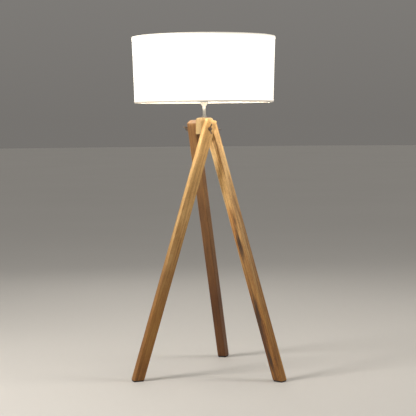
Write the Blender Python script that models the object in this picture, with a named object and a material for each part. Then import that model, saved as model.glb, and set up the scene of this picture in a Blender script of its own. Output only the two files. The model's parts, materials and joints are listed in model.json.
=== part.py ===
"""Tripod floor lamp.

Three straight timber legs lie flat on the faces of a small timber hub. Each leg turns on one
horizontal stud and leans sideways off it, and a wing nut holds it where it is put. A hollow
threaded rod runs up through the hub and a short metal tube into the lampholder, which carries
a wide drum shade on a three-armed ring.

Metres, +Z up. The floor is z = 0 and the origin is the middle of the lamp's box on the floor.
"""
import math

import bmesh
import bpy
from mathutils import Matrix, Vector

# ---------------------------------------------------------------- driving dimensions
GAP = 0.0003                     # clearance between neighbouring pieces

SHADE_TOP_RADIUS = 0.300
SHADE_BOTTOM_RADIUS = 0.2915
SHADE_TOP_Z = 1.417
SHADE_BOTTOM_Z = 1.144

HUB_TOP_Z = 1.082
HUB_HEIGHT = 0.069
HUB_FACE = 0.028                 # centre line to the flat that a leg lies on
HUB_FACE_WIDTH = 0.052
HUB_TOP_ROUNDING = 0.012

PIVOT_Z = 1.035                  # height of the three studs
LEG_WIDTH = 0.043                # across the leg, square to the stud
LEG_DEPTH = 0.038                # along the stud
LEG_LENGTH = 1.123               # on its centre line, from the floor to its top
LEGS_ABOVE_PIVOT = (0.039, 0.0325, 0.0295)

GLIDE_HEIGHT = 0.005
BOLT_RADIUS = 0.004
HOLDER_Z = 1.130                 # lower end of the lampholder's cap
HOLDER_RADIUS = 0.0195

# ---------------------------------------------------------------- derived and lesser sizes
LEG_AZIMUTHS = (-90.0, 138.5, 30.0)
LEANS = [math.acos(PIVOT_Z / (LEG_LENGTH - above)) for above in LEGS_ABOVE_PIVOT]
LEG_EASING = 0.0015
LEG_CENTRE = HUB_FACE + GAP + LEG_DEPTH / 2
LEG_FACE = HUB_FACE + GAP + LEG_DEPTH
HUB_BOTTOM_Z = HUB_TOP_Z - HUB_HEIGHT

BOLT_START = 0.0095
WASHER_RADIUS = 0.0085
WASHER_THICKNESS = 0.0016
WASHER_SEAT = LEG_FACE + GAP
NUT_SEAT = WASHER_SEAT + WASHER_THICKNESS + GAP
NUT_HEIGHT = 0.011
WING_SPAN = 0.044
WING_RISE = 0.0195
WING_THICKNESS = 0.0035
BOLT_END = NUT_SEAT + NUT_HEIGHT + 0.005
BOLT_HOLE_RADIUS = 0.0045
WING_TURNS = (2.0, 65.0, 81.0)  # how each wing nut happens to stand, in degrees

SCREW_HEAD_Z = 0.0012
SCREW_CONE_Z = 0.0036
SCREW_HEAD_RADIUS = 0.004
SCREW_SHANK_RADIUS = 0.00175
SCREW_SHANK_Z = 0.018
SCREW_TIP_Z = 0.021

NIPPLE_RADIUS = 0.005
NIPPLE_BORE = 0.0037
NIPPLE_BOTTOM_Z = 0.995
NIPPLE_TOP_Z = 1.140
TUBE_RADIUS = 0.0075
TUBE_BORE = 0.0065
COLLAR_RADIUS = 0.0093
COLLAR_HEIGHT = 0.008
GRUB_RADIUS = 0.0015
GRUB_AZIMUTH = -130.0

SLEEVE_BOTTOM_Z = HOLDER_Z + 0.0283
SLEEVE_TOP_Z = HOLDER_Z + 0.070
FITTER_Z = HOLDER_Z + 0.0403      # underside of the shade's fitter ring
FITTER_THICKNESS = 0.0016
FITTER_BORE = 0.0208
FITTER_RADIUS = 0.0305
SHADE_RING_RADIUS = 0.0265

BULB_TIP_Z = HOLDER_Z + 0.0312
BULB_LENGTH = 0.105
BULB_RADIUS = 0.030
BULB_CAP_RADIUS = 0.0132
BULB_NECK_RADIUS = 0.0122

CLOTH = 0.0008                    # thickness of fabric, liner and hems
HEM_DEPTH = 0.010
WIRE_RADIUS = 0.002
ARM_AZIMUTHS = (-30.0, 90.0, 210.0)
ARM_RADIUS = 0.00175

SHADE_SEGMENTS = 64
ROUND_SEGMENTS = 24
ROD_SEGMENTS = 16


# ---------------------------------------------------------------- materials
def material(name, colour, roughness, metallic=0.0):
    """A Principled material of one colour."""
    made = bpy.data.materials.new(name)
    made.use_nodes = True
    shader = made.node_tree.nodes["Principled BSDF"]
    shader.inputs["Base Color"].default_value = (*colour, 1.0)
    shader.inputs["Roughness"].default_value = roughness
    shader.inputs["Metallic"].default_value = metallic
    made.diffuse_color = (*colour, 1.0)
    return made


# ---------------------------------------------------------------- mesh helpers
def mesh_from(bm):
    """Turn a bmesh into a mesh whose faces all point outwards."""
    bmesh.ops.recalc_face_normals(bm, faces=bm.faces)
    mesh = bpy.data.meshes.new("shape")
    bm.to_mesh(mesh)
    bm.free()
    return mesh


def turned(profile, segments=ROUND_SEGMENTS):
    """Revolve a closed outline of (radius, z) points about Z."""
    bm = bmesh.new()
    rings = []
    for radius, z in profile:
        if radius == 0.0:
            rings.append([bm.verts.new((0.0, 0.0, z))])
            continue
        ring = []
        for step in range(segments):
            angle = math.tau * step / segments
            ring.append(bm.verts.new((radius * math.cos(angle), radius * math.sin(angle), z)))
        rings.append(ring)
    for ring, following in zip(rings, rings[1:] + rings[:1]):
        for step in range(segments):
            ahead = (step + 1) % segments
            corners = [ring[step % len(ring)], ring[ahead % len(ring)]]
            corners += [following[ahead % len(following)], following[step % len(following)]]
            distinct = list(dict.fromkeys(corners))
            if len(distinct) >= 3:
                bm.faces.new(distinct)
    return mesh_from(bm)


def prism(outline, bottom, top):
    """Extrude a closed outline of (x, y) points from z = bottom to z = top."""
    bm = bmesh.new()
    lower = [bm.verts.new((x, y, bottom)) for x, y in outline]
    upper = [bm.verts.new((x, y, top)) for x, y in outline]
    bm.faces.new(lower)
    bm.faces.new(upper)
    for index in range(len(outline)):
        ahead = (index + 1) % len(outline)
        bm.faces.new((lower[index], lower[ahead], upper[ahead], upper[index]))
    return mesh_from(bm)


def rod(points, radius, sides=8):
    """A round rod along points that lie in the XZ plane, with flat ends."""
    bm = bmesh.new()
    rings = []
    across = Vector((0.0, 1.0, 0.0))
    for index, point in enumerate(points):
        before = points[max(index - 1, 0)]
        after = points[min(index + 1, len(points) - 1)]
        along = (Vector(after) - Vector(before)).normalized()
        upright = along.cross(across)
        ring = []
        for step in range(sides):
            angle = math.tau * (step + 0.5) / sides
            offset = across * math.cos(angle) + upright * math.sin(angle)
            ring.append(bm.verts.new(Vector(point) + offset * radius))
        rings.append(ring)
    for ring, following in zip(rings, rings[1:]):
        for step in range(sides):
            ahead = (step + 1) % sides
            bm.faces.new((ring[step], ring[ahead], following[ahead], following[step]))
    bm.faces.new(rings[0])
    bm.faces.new(rings[-1])
    return mesh_from(bm)


def torus(radius, z, thickness, segments=SHADE_SEGMENTS, sides=6):
    """A wire ring about Z."""
    profile = []
    for step in range(sides):
        angle = math.tau * step / sides
        profile.append((radius + thickness * math.cos(angle), z + thickness * math.sin(angle)))
    return turned(profile, segments)


def arc(centre, radius, start, end, steps):
    """Points of a circular arc, angles in degrees."""
    points = []
    for step in range(steps + 1):
        angle = math.radians(start + (end - start) * step / steps)
        points.append((centre[0] + radius * math.cos(angle), centre[1] + radius * math.sin(angle)))
    return points


def rounded_rectangle(width, depth, radius, steps=3):
    """Outline of a rectangle with round corners, centred on the origin."""
    x = width / 2 - radius
    y = depth / 2 - radius
    outline = arc((x, y), radius, 0, 90, steps)
    outline += arc((-x, y), radius, 90, 180, steps)
    outline += arc((-x, -y), radius, 180, 270, steps)
    outline += arc((x, -y), radius, 270, 360, steps)
    return outline


def hexagon(across_flats):
    """Outline of a regular hexagon."""
    return arc((0.0, 0.0), across_flats / math.sqrt(3), 0, 300, 5)


def placed(mesh, matrix):
    """A mesh after a move."""
    mesh.transform(matrix)
    return mesh


def combine(mesh, others, operation):
    """The union of a mesh with others, or what is left of it after they are cut away."""
    base = bpy.data.objects.new("base", mesh)
    bpy.context.scene.collection.objects.link(base)
    helpers = []
    for other in others:
        helper = bpy.data.objects.new("helper", other)
        bpy.context.scene.collection.objects.link(helper)
        boolean = base.modifiers.new("combine", "BOOLEAN")
        boolean.operation = operation
        boolean.object = helper
        helpers.append(helper)
    graph = bpy.context.evaluated_depsgraph_get()
    result = bpy.data.meshes.new_from_object(base.evaluated_get(graph))
    for helper in helpers + [base]:
        bpy.data.objects.remove(helper)
    return result


def cylinder(radius, bottom, top, segments=ROUND_SEGMENTS):
    """A plain cylinder about Z."""
    return turned([(0.0, bottom), (radius, bottom), (radius, top), (0.0, top)], segments)


def pipe(radius, bore, bottom, top, chamfer=0.0, segments=ROUND_SEGMENTS):
    """A hollow cylinder about Z, with its outer edges broken by a chamfer."""
    profile = [(bore, bottom), (radius - chamfer, bottom)]
    if chamfer:
        profile += [(radius, bottom + chamfer), (radius, top - chamfer)]
    profile += [(radius - chamfer, top), (bore, top)]
    return turned(profile, segments)


# ---------------------------------------------------------------- scene helpers
def empty(name, parent=None, location=(0.0, 0.0, 0.0), rotation=(0.0, 0.0, 0.0)):
    """A frame that pieces are placed in."""
    made = bpy.data.objects.new(name, None)
    bpy.context.scene.collection.objects.link(made)
    made.parent = parent
    made.location = location
    made.rotation_euler = rotation
    return made


def piece(name, mesh, finish, parent, location=(0.0, 0.0, 0.0), rotation=(0.0, 0.0, 0.0)):
    """One separate solid of the lamp."""
    made = bpy.data.objects.new(name, mesh)
    bpy.context.scene.collection.objects.link(made)
    made.parent = parent
    made.location = location
    made.rotation_euler = rotation
    if not mesh.materials:
        mesh.materials.append(finish)
    mesh.shade_smooth()
    mesh.set_sharp_from_angle(angle=math.radians(35))
    return made


# ---------------------------------------------------------------- tripod
def hub_mesh():
    """Three-sided block with blunt corners: a wide flat for each leg, a narrow one between."""
    outline = []
    for azimuth in sorted(LEG_AZIMUTHS):
        angle = math.radians(azimuth)
        outward = Vector((math.cos(angle), math.sin(angle)))
        sideways = Vector((-math.sin(angle), math.cos(angle)))
        for side in (-1, 1):
            corner = outward * HUB_FACE + sideways * side * HUB_FACE_WIDTH / 2
            outline.append(tuple(corner))
    bm = bmesh.new()
    bm.from_mesh(prism(outline, HUB_BOTTOM_Z, HUB_TOP_Z))
    rim = [edge for edge in bm.edges if all(v.co.z > HUB_TOP_Z - GAP for v in edge.verts)]
    bmesh.ops.bevel(bm, geom=rim, offset=HUB_TOP_ROUNDING, segments=4, profile=0.5,
                    affect="EDGES")
    block = mesh_from(bm)
    cutters = [cylinder(NIPPLE_RADIUS + GAP, HUB_BOTTOM_Z - 0.01, HUB_TOP_Z + 0.01)]
    for azimuth in LEG_AZIMUTHS:
        drill = cylinder(BOLT_RADIUS + GAP, BOLT_START - GAP, HUB_FACE + 0.01, ROD_SEGMENTS)
        turn = Matrix.Rotation(math.radians(azimuth - 90), 4, "Z")
        tilt = Matrix.Rotation(math.radians(-90), 4, "X")
        cutters.append(placed(drill, Matrix.Translation((0, 0, PIVOT_Z)) @ turn @ tilt))
    return combine(block, cutters, "DIFFERENCE")


def foot_plane(lean, x, height):
    """Where a level plane at a height crosses the leg, as z along the leg at a given x."""
    return (height - PIVOT_Z - x * math.sin(lean)) / math.cos(lean)


def leg_mesh(above, lean):
    """Straight leg in its own frame: Y along the stud, Z up the leg, foot cut level."""
    half_width = LEG_WIDTH / 2
    half_depth = LEG_DEPTH / 2
    foot = GLIDE_HEIGHT + GAP
    bm = bmesh.new()
    bmesh.ops.create_cube(bm, size=1.0)
    for vert in bm.verts:
        x = math.copysign(half_width, vert.co.x)
        z = above if vert.co.z > 0 else foot_plane(lean, x, foot)
        vert.co = (x, math.copysign(half_depth, vert.co.y), z)
    bmesh.ops.bevel(bm, geom=bm.edges[:], offset=LEG_EASING, segments=1, affect="EDGES")
    drill = cylinder(BOLT_HOLE_RADIUS, -LEG_DEPTH, LEG_DEPTH, ROD_SEGMENTS)
    drill = placed(drill, Matrix.Rotation(math.radians(-90), 4, "X"))
    pilot = cylinder(SCREW_SHANK_RADIUS + GAP, -0.01, SCREW_TIP_Z + GAP - foot, ROD_SEGMENTS)
    upright = Matrix.Rotation(lean, 4, "Y")
    pilot = placed(pilot, Matrix.Translation((0, 0, foot_plane(lean, 0.0, foot))) @ upright)
    return combine(mesh_from(bm), [drill, pilot], "DIFFERENCE")


def glide_mesh(lean):
    """Rubber pad under a leg, from z = 0 at the floor, with a countersunk hole."""
    inset = 0.0015
    ease = 0.0004
    width = LEG_WIDTH / math.cos(lean) - 2 * inset
    outline = rounded_rectangle(width, LEG_DEPTH - 2 * inset, 0.004)
    slab = prism(outline, 0.0, GLIDE_HEIGHT)
    mouth = SCREW_HEAD_RADIUS + ease
    shank = SCREW_SHANK_RADIUS + ease
    hole = [(0.0, -0.002), (mouth, -0.002), (mouth, SCREW_HEAD_Z + ease)]
    hole += [(shank, SCREW_CONE_Z + ease), (shank, 0.01), (0.0, 0.01)]
    return combine(slab, [turned(hole, ROD_SEGMENTS)], "DIFFERENCE")


def glide_screw_mesh():
    """Countersunk wood screw that holds a pad."""
    head = [(0.0, SCREW_HEAD_Z), (SCREW_HEAD_RADIUS, SCREW_HEAD_Z)]
    shank = [(SCREW_SHANK_RADIUS, SCREW_CONE_Z), (SCREW_SHANK_RADIUS, SCREW_SHANK_Z)]
    return turned(head + shank + [(0.0, SCREW_TIP_Z)], ROD_SEGMENTS)


def hanger_bolt_mesh():
    """Stud with its inner end in the hub and its outer end through leg and wing nut."""
    tip = 0.001
    outline = [(0.0, BOLT_START), (BOLT_RADIUS - tip, BOLT_START), (BOLT_RADIUS, BOLT_START + tip)]
    outline += [(BOLT_RADIUS, BOLT_END - tip), (BOLT_RADIUS - tip, BOLT_END), (0.0, BOLT_END)]
    return turned(outline, ROD_SEGMENTS)


def wing_nut_mesh():
    """Wing nut with its seat at z = 0: a tapered boss and two rising, round-ended wings."""
    boss = turned([(0.0, 0.0), (0.0075, 0.0), (0.0075, 0.002), (0.0060, NUT_HEIGHT),
                   (0.0, NUT_HEIGHT)], ROD_SEGMENTS)
    tip_radius = 0.0048
    tip = (WING_SPAN / 2 - tip_radius, WING_RISE - tip_radius)
    wing = [(0.0065, 0.0018), (0.0125, 0.0050)] + arc(tip, tip_radius, -50, 150, 6)
    wing += [(0.0092, 0.0098), (0.0058, 0.0088)]
    plate = prism(wing + [(-x, z) for x, z in reversed(wing)], -WING_THICKNESS / 2,
                  WING_THICKNESS / 2)
    plate = placed(plate, Matrix.Rotation(math.radians(90), 4, "X"))
    whole = combine(boss, [plate], "UNION")
    bore = cylinder(BOLT_RADIUS + GAP, -0.01, 0.03, ROD_SEGMENTS)
    return combine(whole, [bore], "DIFFERENCE")


def build_tripod(lamp, finishes):
    """Hub, and for each side a leg with its pad, screw, stud, washer and wing nut."""
    piece("hub_block", hub_mesh(), finishes["hub_wood"], lamp)
    screw = glide_screw_mesh()
    bolt = hanger_bolt_mesh()
    washer = pipe(WASHER_RADIUS, BOLT_RADIUS + GAP, 0.0, WASHER_THICKNESS)
    nut = wing_nut_mesh()
    outwards = math.radians(-90)
    sole = GLIDE_HEIGHT + GAP
    sides = zip(LEG_AZIMUTHS, LEGS_ABOVE_PIVOT, LEANS, WING_TURNS)
    for number, (azimuth, above, lean, turn) in enumerate(sides, start=1):
        side = empty(f"side_{number}", lamp, rotation=(0, 0, math.radians(azimuth - 90)))
        stud = empty(f"stud_axis_{number}", side, (0, 0, PIVOT_Z), (outwards, 0, 0))
        timber = piece(f"leg_{number}", leg_mesh(above, lean), finishes["leg_wood"], side,
                       (0, LEG_CENTRE, PIVOT_Z), (0, -lean, 0))
        foot_z = foot_plane(lean, 0.0, sole) - sole * math.cos(lean)
        foot = (-sole * math.sin(lean), 0, foot_z)
        piece(f"foot_glide_{number}", glide_mesh(lean), finishes["black_rubber"], timber,
              foot, (0, lean, 0))
        piece(f"glide_screw_{number}", screw, finishes["zinc_steel"], timber,
              foot, (0, lean, 0))
        piece(f"hanger_bolt_{number}", bolt, finishes["dark_bronze"], stud)
        piece(f"leg_washer_{number}", washer, finishes["dark_bronze"], stud,
              (0, 0, WASHER_SEAT))
        upright = math.radians(90 - turn)
        piece(f"wing_nut_{number}", nut, finishes["dark_bronze"], stud,
              (0, 0, NUT_SEAT), (0, 0, upright))


# ---------------------------------------------------------------- column
def bored_hexagon(across_flats, bottom, top):
    """Hexagon nut on the nipple."""
    nut = prism(hexagon(across_flats), bottom, top)
    bore = cylinder(NIPPLE_RADIUS + GAP, bottom - 0.01, top + 0.01, ROD_SEGMENTS)
    return combine(nut, [bore], "DIFFERENCE")


def collar_mesh():
    """Collar at the tube's foot, drilled for its grub screw."""
    bottom = HUB_TOP_Z + GAP
    ring = pipe(COLLAR_RADIUS, TUBE_RADIUS + GAP, bottom, bottom + COLLAR_HEIGHT, 0.0006)
    drill = cylinder(GRUB_RADIUS + GAP, 0.0, 0.02, ROD_SEGMENTS)
    turn = Matrix.Rotation(math.radians(GRUB_AZIMUTH - 90), 4, "Z")
    tilt = Matrix.Rotation(math.radians(-90), 4, "X")
    middle = Matrix.Translation((0, 0, bottom + COLLAR_HEIGHT / 2))
    return combine(ring, [placed(drill, middle @ turn @ tilt)], "DIFFERENCE")


def build_column(lamp, finishes):
    """Everything on the centre line between the hub's underside and the lampholder."""
    steel = finishes["zinc_steel"]
    bright = finishes["bright_metal"]
    piece("nipple", pipe(NIPPLE_RADIUS, NIPPLE_BORE, NIPPLE_BOTTOM_Z, NIPPLE_TOP_Z), steel, lamp)
    washer_top = HUB_BOTTOM_Z - GAP
    washer_bottom = washer_top - 0.002
    hub_washer = pipe(0.0125, NIPPLE_RADIUS + GAP, washer_bottom, washer_top)
    piece("hub_washer", hub_washer, steel, lamp)
    nut_top = washer_bottom - GAP
    piece("hub_nut", bored_hexagon(0.017, nut_top - 0.005, nut_top), steel, lamp)
    flange_top = NIPPLE_BOTTOM_Z - GAP
    spigot = NIPPLE_BORE - GAP
    bush = [(0.0026, flange_top - 0.003), (0.0052, flange_top - 0.003)]
    bush += [(0.0060, flange_top - 0.0022), (0.0060, flange_top), (spigot, flange_top)]
    bush += [(spigot, NIPPLE_BOTTOM_Z + 0.008), (0.0026, NIPPLE_BOTTOM_Z + 0.008)]
    piece("cable_bush", turned(bush), finishes["black_plastic"], lamp)
    tube = pipe(TUBE_RADIUS, TUBE_BORE, HUB_TOP_Z + GAP, HOLDER_Z - GAP)
    piece("tube", tube, bright, lamp)
    piece("tube_collar", collar_mesh(), bright, lamp)
    turn = math.radians(GRUB_AZIMUTH - 90)
    grub = cylinder(GRUB_RADIUS, TUBE_RADIUS + GAP, COLLAR_RADIUS - GAP, ROD_SEGMENTS)
    piece("collar_grub_screw", grub, finishes["dark_bronze"], lamp,
          (0, 0, HUB_TOP_Z + GAP + COLLAR_HEIGHT / 2), (math.radians(-90), 0, turn))


# ---------------------------------------------------------------- lampholder
def holder_cap_mesh():
    """Flared cover: a cone that opens upwards into a short cylinder, 1 mm thick."""
    wall = 0.001
    outer = [(0.0082, 0.0), (0.0094, 0.0010), (0.0165, 0.0135), (0.0190, 0.0185),
             (HOLDER_RADIUS, 0.0210), (HOLDER_RADIUS, 0.0280)]
    inner = [(radius - wall, max(z, 0.0025)) for radius, z in reversed(outer[1:])]
    profile = [(NIPPLE_RADIUS + GAP, 0.0)] + outer + inner + [(NIPPLE_RADIUS + GAP, 0.0025)]
    return turned([(radius, HOLDER_Z + z) for radius, z in profile])


def terminal_block_mesh(screw_x):
    """Ceramic insert, drilled for its two terminal screws."""
    bottom = HOLDER_Z + 0.018
    top = HOLDER_Z + 0.029
    block = pipe(0.0165, 0.0016, bottom, top, 0.0006)
    drills = []
    for x in (-screw_x, screw_x):
        drill = cylinder(0.00125 + GAP, bottom - 0.002, bottom + 0.0065, 12)
        drills.append(placed(drill, Matrix.Translation((x, 0, 0))))
    return combine(block, drills, "DIFFERENCE")


def contact_mesh():
    """Sprung brass tongue under the bulb's tip, bent up at its free end."""
    floor = HOLDER_Z + 0.029 + GAP
    lift = 0.0013
    thickness = 0.0004
    low = [(-0.0060, 0.0), (-0.0022, 0.0), (-0.0008, lift - 0.0003), (0.0022, lift - 0.0001)]
    tongue = low + [(x, z + thickness) for x, z in reversed(low)]
    strip = prism(tongue, -0.002, 0.002)
    upright = Matrix.Rotation(math.radians(90), 4, "X")
    return placed(strip, Matrix.Translation((0, 0, floor)) @ upright)


def shade_ring_mesh(flange_z, upwards):
    """Threaded ring with a flange that clamps the fitter ring and a gripping collar."""
    bore = HOLDER_RADIUS + GAP
    collar = 0.0228
    sign = 1 if upwards else -1
    profile = [(bore, 0.0), (SHADE_RING_RADIUS, 0.0), (SHADE_RING_RADIUS, 0.002), (collar, 0.002),
               (collar, 0.0078), (bore, 0.0078)]
    return turned([(radius, flange_z + sign * z) for radius, z in profile], 32)


def bulb_profile(offset):
    """Half outline of the bulb's envelope, from the crown to the neck, offset inwards."""
    radius = BULB_RADIUS - offset
    centre = BULB_TIP_Z + BULB_LENGTH - BULB_RADIUS
    last = 128.0
    globe = []
    for step in range(10):
        angle = math.radians(last * step / 9)
        globe.append((radius * math.sin(angle), centre + radius * math.cos(angle)))
    start = Vector(globe[-1])
    leave = Vector((math.cos(math.radians(last)), -math.sin(math.radians(last))))
    neck = Vector((BULB_NECK_RADIUS - offset, BULB_TIP_Z + 0.029))
    reach = (start - neck).length
    flare = []
    for step in range(1, 6):
        t = step / 5
        pull = (2 * t**3 - 3 * t**2 + 1) * start + (t**3 - 2 * t**2 + t) * leave * reach
        point = pull + (3 * t**2 - 2 * t**3) * neck + (t**3 - t**2) * Vector((0, -1)) * reach
        flare.append(tuple(point))
    foot = (BULB_NECK_RADIUS - offset, BULB_TIP_Z + 0.017)
    return globe + flare + [foot]


def bulb_glass_mesh():
    """Thin glass envelope, open at the lower end of its neck."""
    outside = bulb_profile(0.0)
    inside = bulb_profile(0.0008)
    return turned(outside + list(reversed(inside)))


def build_holder(lamp, finishes):
    """Lampholder from its cap up to the sleeve, with its contacts and shade rings."""
    brass = finishes["brass"]
    piece("holder_cap", holder_cap_mesh(), finishes["white_plastic"], lamp)
    lock_z = HOLDER_Z + 0.0025 + GAP
    lock_nut = bored_hexagon(0.014, lock_z, lock_z + 0.003)
    piece("holder_lock_nut", lock_nut, finishes["zinc_steel"], lamp)
    screw_x = 0.010
    piece("terminal_block", terminal_block_mesh(screw_x), finishes["ceramic"], lamp)
    block_bottom = HOLDER_Z + 0.018
    head_top = block_bottom - GAP
    screw = turned([(0.0, head_top - 0.0018), (0.0025, head_top - 0.0018), (0.0025, head_top),
                    (0.00125, head_top), (0.00125, block_bottom + 0.006),
                    (0.0, block_bottom + 0.006)], 12)
    for number, x in enumerate((-screw_x, screw_x), start=1):
        piece(f"terminal_screw_{number}", screw, brass, lamp, (x, 0, 0))
    piece("centre_contact", contact_mesh(), brass, lamp)
    shell_bottom = HOLDER_Z + 0.029 + GAP
    shell_top = HOLDER_Z + 0.054
    shell = [(0.0070, shell_bottom), (0.0145, shell_bottom), (0.0145, shell_top)]
    shell += [(0.0139, shell_top), (0.0139, shell_bottom + 0.0005), (0.0070, shell_bottom + 0.0005)]
    piece("screw_shell", turned(shell), brass, lamp)
    sleeve = pipe(HOLDER_RADIUS, 0.0175, SLEEVE_BOTTOM_Z, SLEEVE_TOP_Z, 0.0008, 32)
    piece("holder_sleeve", sleeve, finishes["white_plastic"], lamp)
    lower = shade_ring_mesh(FITTER_Z - GAP, upwards=False)
    upper = shade_ring_mesh(FITTER_Z + FITTER_THICKNESS + GAP, upwards=True)
    piece("shade_ring_lower", lower, finishes["white_plastic"], lamp)
    piece("shade_ring_upper", upper, finishes["white_plastic"], lamp)


def build_bulb(lamp, finishes):
    """Screw-in bulb, pieces from its tip contact upwards."""
    tip = BULB_TIP_Z
    contact = [(0.0, tip), (0.0032, tip + 0.0002), (0.0045, tip + 0.0008)]
    contact += [(0.0045, tip + 0.0015), (0.0, tip + 0.0015)]
    insulator = [(0.0, tip + 0.0018), (0.0055, tip + 0.0018), (0.0118, tip + 0.0050)]
    insulator += [(0.0, tip + 0.0050)]
    cap = pipe(BULB_CAP_RADIUS, 0.0127, tip + 0.0053, tip + 0.0260)
    stem = [(0.0, tip + 0.0075), (0.0095, tip + 0.0075), (0.0095, tip + 0.0095)]
    stem += [(0.0045, tip + 0.0200), (0.0030, tip + 0.0460), (0.0, tip + 0.0470)]
    axis = empty("bulb_axis", lamp)
    piece("bulb_tip_contact", turned(contact), finishes["brass"], axis)
    piece("bulb_insulator", turned(insulator), finishes["black_plastic"], axis)
    piece("bulb_cap", cap, finishes["bulb_aluminium"], axis)
    piece("bulb_stem", turned(stem), finishes["clear_glass"], axis)
    piece("bulb_glass", bulb_glass_mesh(), finishes["frosted_glass"], axis)


# ---------------------------------------------------------------- shade
def shade_radius(z):
    """Outside radius of the shade at a height."""
    share = (z - SHADE_BOTTOM_Z) / (SHADE_TOP_Z - SHADE_BOTTOM_Z)
    return SHADE_BOTTOM_RADIUS + share * (SHADE_TOP_RADIUS - SHADE_BOTTOM_RADIUS)


def drum(inset, margin):
    """Thin drum wall whose outside lies inset from the shade's outside."""
    low = SHADE_BOTTOM_Z + margin
    high = SHADE_TOP_Z - margin
    outside = [(shade_radius(z) - inset, z) for z in (low, high)]
    inside = [(shade_radius(z) - inset - CLOTH, z) for z in (high, low)]
    return turned(outside + inside, SHADE_SEGMENTS)


def wire_inset():
    """How far the wire rings' centre line lies inside the shade's outside."""
    return 3 * (CLOTH + GAP) + WIRE_RADIUS


def hem_mesh(edge_z, direction):
    """Folded band over one edge of the drum: outer leg, web and shorter inner leg."""
    inner_inset = wire_inset() + WIRE_RADIUS + GAP
    inner_depth = 0.006
    steps = [(0.0, HEM_DEPTH), (0.0, 0.0), (inner_inset + CLOTH, 0.0),
             (inner_inset + CLOTH, inner_depth), (inner_inset, inner_depth),
             (inner_inset, CLOTH), (CLOTH, CLOTH), (CLOTH, HEM_DEPTH)]
    profile = []
    for inset, depth in steps:
        z = edge_z + direction * depth
        profile.append((shade_radius(z) - inset, z))
    return turned(profile, SHADE_SEGMENTS)


def wire_height(edge_z, direction):
    """Height of a wire ring's centre line inside its hem."""
    return edge_z + direction * (CLOTH + GAP + WIRE_RADIUS)


def spider_mesh():
    """Bottom wire ring, three arms that rise from it, and the flat fitter ring."""
    ring_z = wire_height(SHADE_BOTTOM_Z, 1)
    ring_radius = shade_radius(ring_z) - wire_inset()
    shoulder = 0.006
    bend_z = ring_z + 0.006
    fitter_middle = FITTER_Z + FITTER_THICKNESS / 2
    bend = arc((ring_radius - shoulder, bend_z), shoulder, 0, 80, 4)
    path = [(ring_radius, 0.0, ring_z)] + [(x, 0.0, z) for x, z in bend]
    path.append((FITTER_RADIUS - 0.0022, 0.0, fitter_middle))
    arms = []
    for azimuth in ARM_AZIMUTHS:
        turn = Matrix.Rotation(math.radians(azimuth), 4, "Z")
        arms.append(placed(rod(path, ARM_RADIUS), turn))
    fitter = pipe(FITTER_RADIUS, FITTER_BORE, FITTER_Z, FITTER_Z + FITTER_THICKNESS, 0.0, 32)
    return combine(torus(ring_radius, ring_z, WIRE_RADIUS), arms + [fitter], "UNION")


def build_shade(lamp, finishes):
    """Fabric drum on a stiff liner, two wire rings, two hems."""
    fabric = drum(CLOTH + GAP, CLOTH + GAP)
    liner = drum(2 * (CLOTH + GAP), CLOTH + GAP)
    top_z = wire_height(SHADE_TOP_Z, -1)
    top_ring = torus(shade_radius(top_z) - wire_inset(), top_z, WIRE_RADIUS)
    piece("shade_fabric", fabric, finishes["shade_fabric"], lamp)
    piece("shade_liner", liner, finishes["shade_liner"], lamp)
    piece("hem_top", hem_mesh(SHADE_TOP_Z, -1), finishes["shade_hem"], lamp)
    piece("hem_bottom", hem_mesh(SHADE_BOTTOM_Z, 1), finishes["shade_hem"], lamp)
    piece("shade_wire_top", top_ring, finishes["white_metal"], lamp)
    piece("shade_spider", spider_mesh(), finishes["white_metal"], lamp)


# ---------------------------------------------------------------- the whole lamp
def centre_on_footprint(lamp):
    """Move the lamp so that the origin is the middle of its box on the floor."""
    bpy.context.view_layer.update()
    places = [thing.matrix_world @ vert.co for thing in bpy.data.objects
              if thing.type == "MESH" for vert in thing.data.vertices]
    for axis in (0, 1):
        values = [place[axis] for place in places]
        lamp.location[axis] = -(min(values) + max(values)) / 2


def main():
    for thing in list(bpy.data.objects):
        bpy.data.objects.remove(thing)
    finishes = {
        "leg_wood": material("leg_wood", (0.46, 0.27, 0.12), 0.55),
        "hub_wood": material("hub_wood", (0.50, 0.31, 0.14), 0.55),
        "black_rubber": material("black_rubber", (0.02, 0.02, 0.02), 0.8),
        "zinc_steel": material("zinc_steel", (0.62, 0.62, 0.60), 0.35, 1.0),
        "dark_bronze": material("dark_bronze", (0.13, 0.09, 0.07), 0.35, 1.0),
        "bright_metal": material("bright_metal", (0.72, 0.72, 0.72), 0.2, 1.0),
        "brass": material("brass", (0.72, 0.52, 0.22), 0.3, 1.0),
        "ceramic": material("ceramic", (0.86, 0.85, 0.80), 0.25),
        "black_plastic": material("black_plastic", (0.03, 0.03, 0.03), 0.4),
        "white_plastic": material("white_plastic", (0.85, 0.84, 0.81), 0.4),
        "white_metal": material("white_metal", (0.85, 0.85, 0.83), 0.4),
        "bulb_aluminium": material("bulb_aluminium", (0.75, 0.75, 0.74), 0.3, 1.0),
        "clear_glass": material("clear_glass", (0.9, 0.92, 0.92), 0.1),
        "frosted_glass": material("frosted_glass", (0.93, 0.92, 0.88), 0.5),
        "shade_fabric": material("shade_fabric", (0.90, 0.87, 0.79), 0.9),
        "shade_liner": material("shade_liner", (0.93, 0.91, 0.86), 0.6),
        "shade_hem": material("shade_hem", (0.86, 0.83, 0.75), 0.9),
    }
    lamp = empty("lamp")
    build_tripod(lamp, finishes)
    build_column(lamp, finishes)
    build_holder(lamp, finishes)
    build_bulb(lamp, finishes)
    build_shade(lamp, finishes)
    centre_on_footprint(lamp)


main()
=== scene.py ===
"""The tripod floor lamp's looks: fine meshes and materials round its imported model."""

import json
import math

import bmesh
import bpy
from mathutils import Matrix, Vector, noise


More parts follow.
